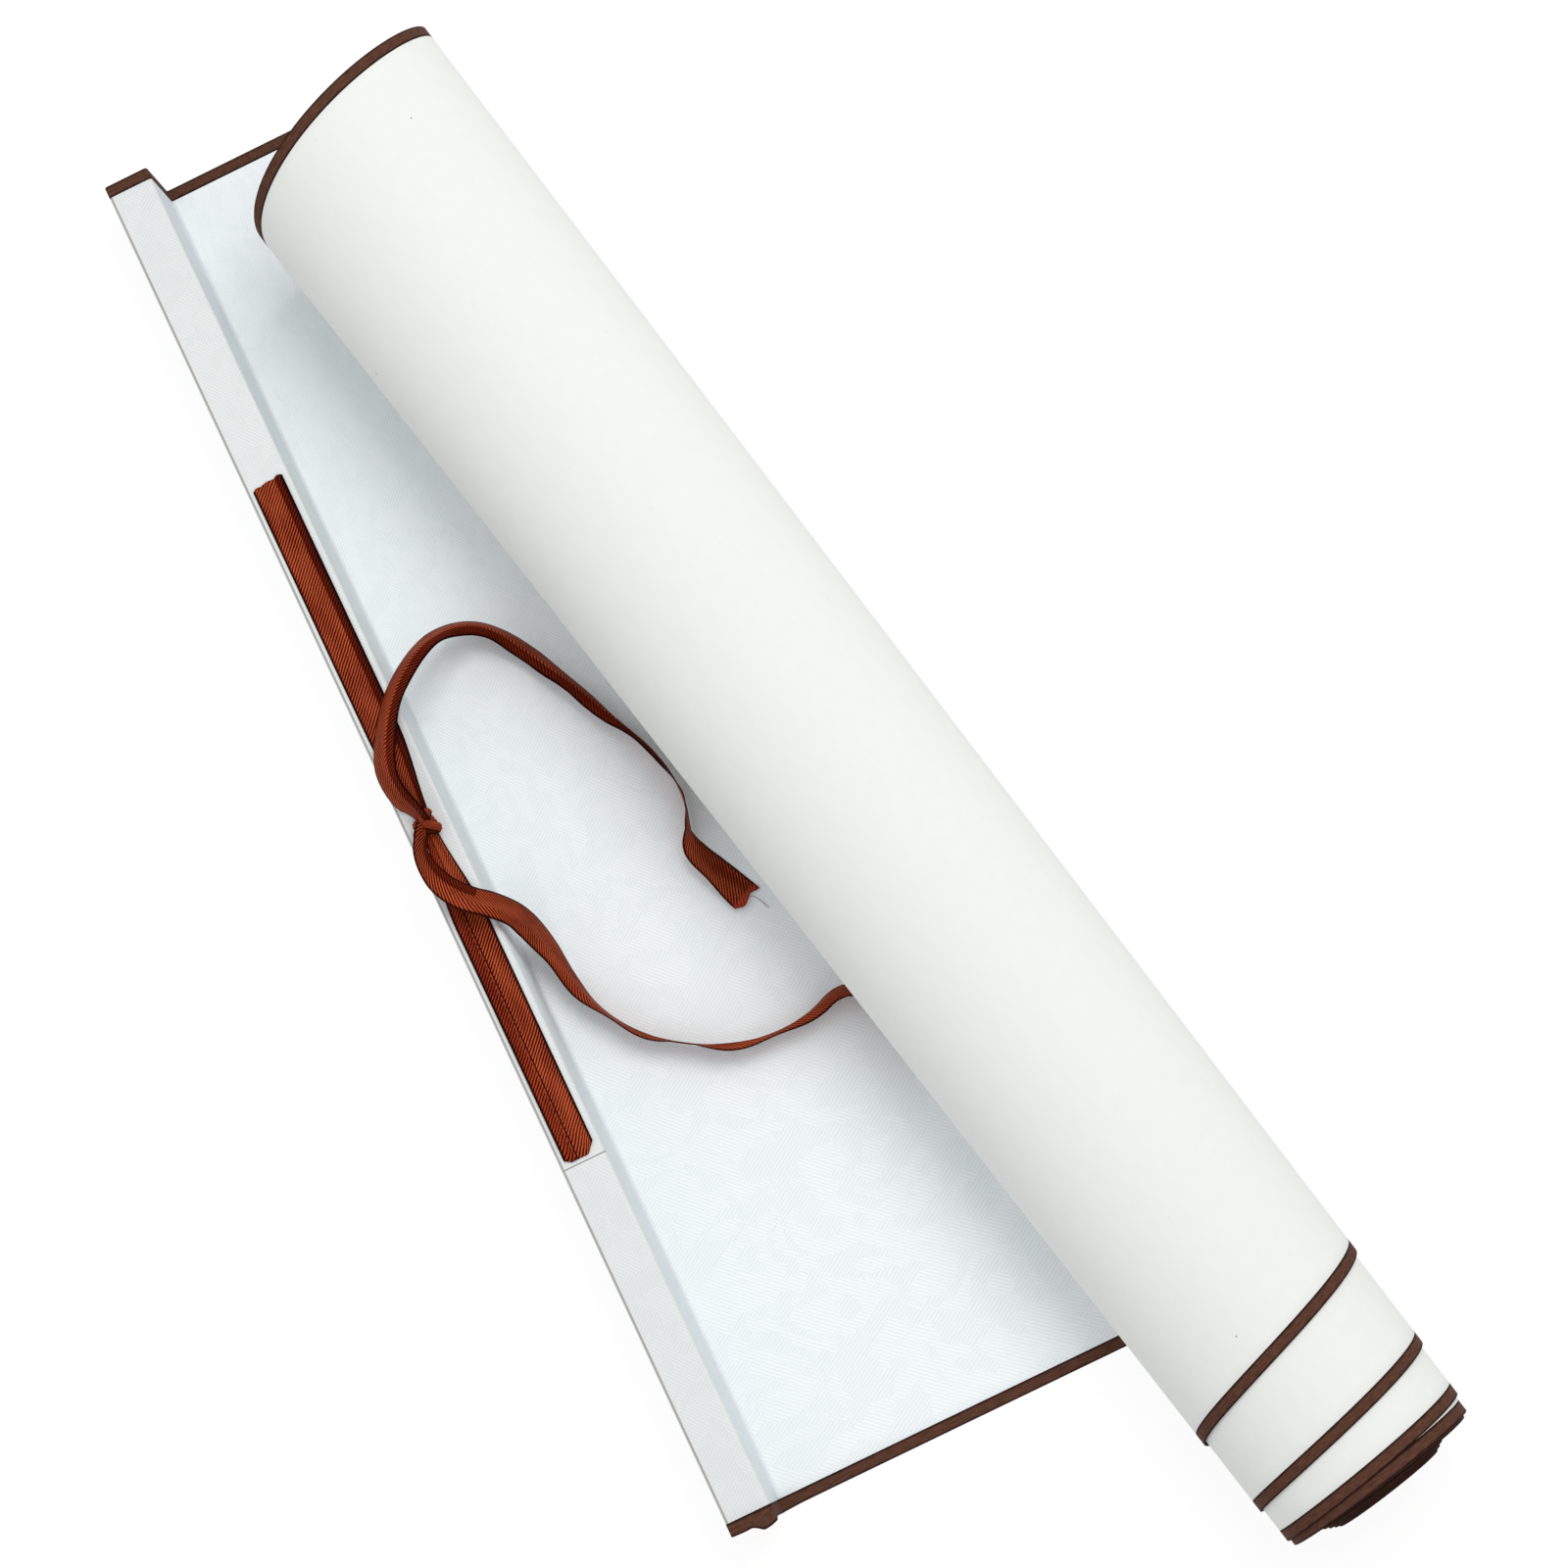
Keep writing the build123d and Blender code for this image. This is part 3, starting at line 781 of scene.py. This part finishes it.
def make_hanging_ribbon(material):
    """Ribbon band along the top of the stave, gathered where the knot holds it."""
    rings, uvs = [], []
    steps = 200
    across_steps = 20
    lower_end_steps = 6
    upper_end_steps = 4
    selvedge_share = 0.6
    for i in range(steps + 1):
        middle = ribbon_lower_end + (ribbon_upper_end - ribbon_lower_end) * i / steps
        near = max(0.0, 1 - abs(middle - knot_place) / pinch_reach)
        gather = near * near * (3 - 2 * near)
        width = ribbon_width - (ribbon_width - pinch_width) * gather
        rise = pinch_lift * gather
        at_lower_end = max(0.0, 1 - i / lower_end_steps)
        at_upper_end = max(0.0, 1 - (steps - i) / upper_end_steps)
        top, bottom, row = [], [], []
        for k in range(across_steps + 1):
            share = 2 * k / across_steps - 1
            pleat = gather * pleat_height * cos(share * 3 * pi)
            thick = ribbon_thickness * (selvedge_share if abs(share) == 1 else 1)
            place = (share + 1) / 2
            folded = place > upper_fold if middle > knot_place else place < lower_fold
            if folded:
                thick += fold_rise * (1 - gather)
            shift, lift = uneven_lower_end(share)
            x = stave_middle + share * width / 2
            y = middle + at_lower_end * shift + at_upper_end * uneven_upper_end(share)
            low = ribbon_seat + rise + max(0.0, pleat) + at_lower_end * lift
            bottom.append(np.array((x, y, low)))
            top.append(np.array((x, y, low + thick)))
            row.append((share * ribbon_width / 2, middle))
        rings.append(bottom + top[::-1])
        uvs.append(row + row[::-1])
    ribbon = ring_mesh("satin_hanging_ribbon", rings, uvs)
    ribbon.data.materials.append(material)
    return ribbon


def loop_band(name, centre, first, second, radii, width, thickness, material):
    """Closed band round an ellipse in the plane of first and second."""
    first = np.array(first, float)
    first /= np.linalg.norm(first)
    second = np.array(second, float)
    second -= first * first.dot(second)
    second /= np.linalg.norm(second)
    axis = np.cross(first, second)
    rings, uvs = [], []
    steps = 60
    across_steps = 12
    curl = 0.2 * width
    pleat_height = 0.16 * millimetre
    for i in range(steps):
        angle = 2 * pi * i / steps
        place = np.array(centre) + first * cos(angle) * radii[0] + second * sin(angle) * radii[1]
        out = first * cos(angle) / radii[0] + second * sin(angle) / radii[1]
        out /= np.linalg.norm(out)
        top, bottom, row = [], [], []
        for k in range(across_steps + 1):
            share = 2 * k / across_steps - 1
            sink = -curl * share**2 + pleat_height * cos(3 * pi * share + 2 * angle)
            point = place + axis * share * width / 2 + out * sink
            top.append(point + out * thickness / 2)
            bottom.append(point - out * thickness / 2)
            row.append((share * tie_width / 2, angle * radii[0]))
        rings.append(top + bottom[::-1])
        uvs.append(row + row[::-1])
    band = ring_mesh(name, rings, uvs, closed=True)
    band.data.materials.append(material)
    return band


def make_knot(material):
    """Knot round the gathered ribbon: a ring through its loop and three uneven turns over it."""
    base = np.array((stave_middle, knot_place, ribbon_seat))
    thickness = 0.4 * millimetre
    # Name, centre above the base, two directions in its plane, two radii and width, in millimetres
    turns = [
        ("knot_ring", (0, 0, 0.9), (1, 0, 0), (0, 0, 1), (3.2, 1.4), 5.0),
        ("knot_turn_one", (-0.6, 0.5, 3.6), (1, 0.9, 0.1), (0, -0.1, 1), (4.8, 2.2), 2.6),
        ("knot_turn_two", (0.4, -0.9, 3.9), (1, -0.6, -0.1), (0, 0.25, 1), (4.2, 2.5), 2.8),
        ("knot_turn_three", (-0.7, 0.2, 4.4), (0.4, 1, 0.2), (0.1, -0.2, 1), (3.9, 1.9), 2.1),
    ]
    bands = []
    for name, shift, first, second, radii, width in turns:
        centre = base + np.array(shift) * millimetre
        reach = [radius * millimetre for radius in radii]
        band = loop_band(name, centre, first, second, reach, width * millimetre, thickness, material)
        bands.append(band)
    return bands


def make_loose_thread(start, material):
    """One thread pulled out of a cut end, curled on the sheet."""
    rings, uvs = [], []
    thickness = 0.09 * millimetre
    length = 6 * millimetre
    steps = 24
    run = np.array((4.6, -5.2, -0.9)) * millimetre
    bow = np.array((0.0, 2.0, 0.7)) * millimetre
    corners = [(cos(pi / 3 * k), sin(pi / 3 * k)) for k in range(6)]
    for step in range(steps + 1):
        share = step / steps
        point = start + run * share + bow * sin(pi * share)
        rings.append([point + np.array((a, a * 0.5, b)) * thickness for a, b in corners])
        uvs.append([(a * thickness, share * length) for a, b in corners])
    thread = ring_mesh("loose_thread", rings, uvs)
    thread.data.materials.append(material)
    return thread


# Pieces
lines = sheet_lines()
brown = binding_material()
satin = ribbon_material("satin_tie", "plain")
satin_a = ribbon_material("satin_a", "upper crease")
satin_b = ribbon_material("satin_b", "lower crease")
hanging_satin = ribbon_material("satin_hanging", "hanging")
wood = wood_material()
sheet = make_sheet(lines)
binding_upper = make_binding(lines, True, brown)
binding_lower = make_binding(lines, False, brown)
hanging = make_hanging_ribbon(hanging_satin)
knot = make_knot(satin)
tail_a, path_a = make_tail("satin_tail_a", tail_a_route, satin_a)
tail_b, path_b = make_tail("satin_tail_b", tail_b_route, satin_b)
thread = make_loose_thread(path_a[-1], satin)

for node in ("top_stave", "bottom_rod"):
    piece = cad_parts[node]
    piece.data.materials.clear()
    piece.data.materials.append(wood)

for piece in [sheet, binding_upper, binding_lower, hanging, tail_a, tail_b, thread] + knot:
    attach(piece, "root")
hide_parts("scroll_sheet")
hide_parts("edge_binding_upper")
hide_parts("edge_binding_lower")
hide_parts("hanging_ribbon")
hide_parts("tie_knot")
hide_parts("tie_tail_a")
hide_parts("tie_tail_b")


# Stage: a pale floor that the camera sees as white, with a share of its shade left in
ground_size = 12
ground_drop = 0.02 * millimetre
ground_colour = (0.8, 0.8, 0.8)
glow_share = 0.85
glow_strength = 1.05


def seen_directly(tree):
    """1 for what the camera sees, straight or in a reflection or through glass, else 0."""
    rays = tree.nodes.new("ShaderNodeLightPath").outputs
    mirrored = calculate(tree, "MAXIMUM", rays["Is Glossy Ray"], rays["Is Transmission Ray"])
    return calculate(tree, "MAXIMUM", rays["Is Camera Ray"], mirrored)


bpy.ops.mesh.primitive_plane_add(size=ground_size, location=(0, 0, -ground_drop))
ground = bpy.context.object
ground.name = "white_ground"
white, tree, shader = new_material("white_ground")
shader.inputs["Base Color"].default_value = (*ground_colour, 1)
shader.inputs["Roughness"].default_value = 1.0
glow = tree.nodes.new("ShaderNodeEmission")
glow.inputs["Color"].default_value = (1, 1, 1, 1)
glow.inputs["Strength"].default_value = glow_strength
chooser = tree.nodes.new("ShaderNodeMixShader")
output = tree.nodes["Material Output"]
tree.links.new(calculate(tree, "MULTIPLY", seen_directly(tree), glow_share), chooser.inputs[0])
tree.links.new(shader.outputs[0], chooser.inputs[1])
tree.links.new(glow.outputs[0], chooser.inputs[2])
tree.links.new(chooser.outputs[0], output.inputs["Surface"])
ground.data.materials.append(white)

# Light: bright even surroundings and a broad soft light from the right
surroundings_strength = 0.77
surroundings_colour = (0.97, 0.985, 1.0)
key_place = (0.65, 0.45, 1.75)
key_size = 0.9
key_power = 14.5
key_colour = (1.0, 0.99, 0.96)

scene = bpy.context.scene
world = bpy.data.worlds.new("surroundings")
scene.world = world
world.use_nodes = True
tree = world.node_tree
dome = tree.nodes["Background"]
dome.inputs["Color"].default_value = (*surroundings_colour, 1)
brightness = mix_values(tree, seen_directly(tree), surroundings_strength, 1.0)
tree.links.new(brightness, dome.inputs["Strength"])


def soft_light(name, place, aim, size, power, colour):
    """Square area light at a place, aimed at a point."""
    data = bpy.data.lights.new(name, "AREA")
    data.size = size
    data.energy = power
    data.color = colour
    lamp = bpy.data.objects.new(name, data)
    lamp.location = place
    lamp.rotation_euler = (Vector(aim) - Vector(place)).to_track_quat("-Z", "Y").to_euler()
    scene.collection.objects.link(lamp)


soft_light("key", key_place, (0, 0, 0), key_size, key_power, key_colour)

# Camera that the photograph was taken from
photo_width = 1600
focal_pixels = 4120.3
sensor_width = 36
camera_data = bpy.data.cameras.new("camera")
camera_data.sensor_width = sensor_width
camera_data.lens = focal_pixels / photo_width * sensor_width
camera = bpy.data.objects.new("camera", camera_data)
camera_place = (0.0232, -0.2222, 1.2057)
turned = Matrix(((0.89865, 0.43794, 0.02523), (-0.42901, 0.88941, -0.15783), (-0.09157, 0.13101, 0.98714)))
camera.matrix_world = Matrix.Translation(camera_place) @ turned.to_4x4()
scene.collection.objects.link(camera)
scene.camera = camera
scene.view_settings.view_transform = "Standard"
